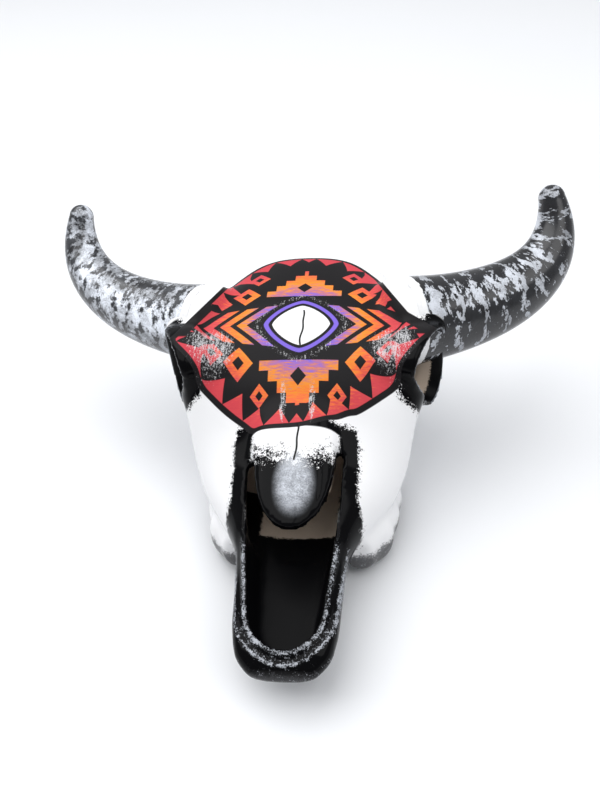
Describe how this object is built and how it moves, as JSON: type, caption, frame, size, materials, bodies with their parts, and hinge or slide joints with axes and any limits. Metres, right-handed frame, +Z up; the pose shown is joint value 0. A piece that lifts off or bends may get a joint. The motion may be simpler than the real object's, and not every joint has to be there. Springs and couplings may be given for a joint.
{
  "type": "ceramic bull skull decoration",
  "caption": "Hollow glazed ceramic bull skull with curved horns, open eye sockets and an open nose, made to lie on a table or hang.",
  "frame": {"origin": "on the table under the middle of the skull's box", "axes": "+Z up, the muzzle points to -Y, the horns spread along X"},
  "size_m": [0.2052, 0.1712, 0.0902],
  "materials": {
    "glazed_head": "gloss black glaze with a painted pattern",
    "glazed_face": "gloss white glaze with dry-brushed black edges",
    "black_glaze": "high gloss black glaze",
    "grey_glaze": "black glaze brushed with grey",
    "horn_glaze": "satin black brushed with silver grey"
  },
  "bodies": {
    "root": {"cranium": "glazed_head", "upper_jaw": "glazed_face", "muzzle": "black_glaze", "nasal_bones": "glazed_face", "tooth_row_left": "grey_glaze", "tooth_row_right": "grey_glaze", "horn_left": "horn_glaze", "horn_right": "horn_glaze"}
  },
  "joints": []
}
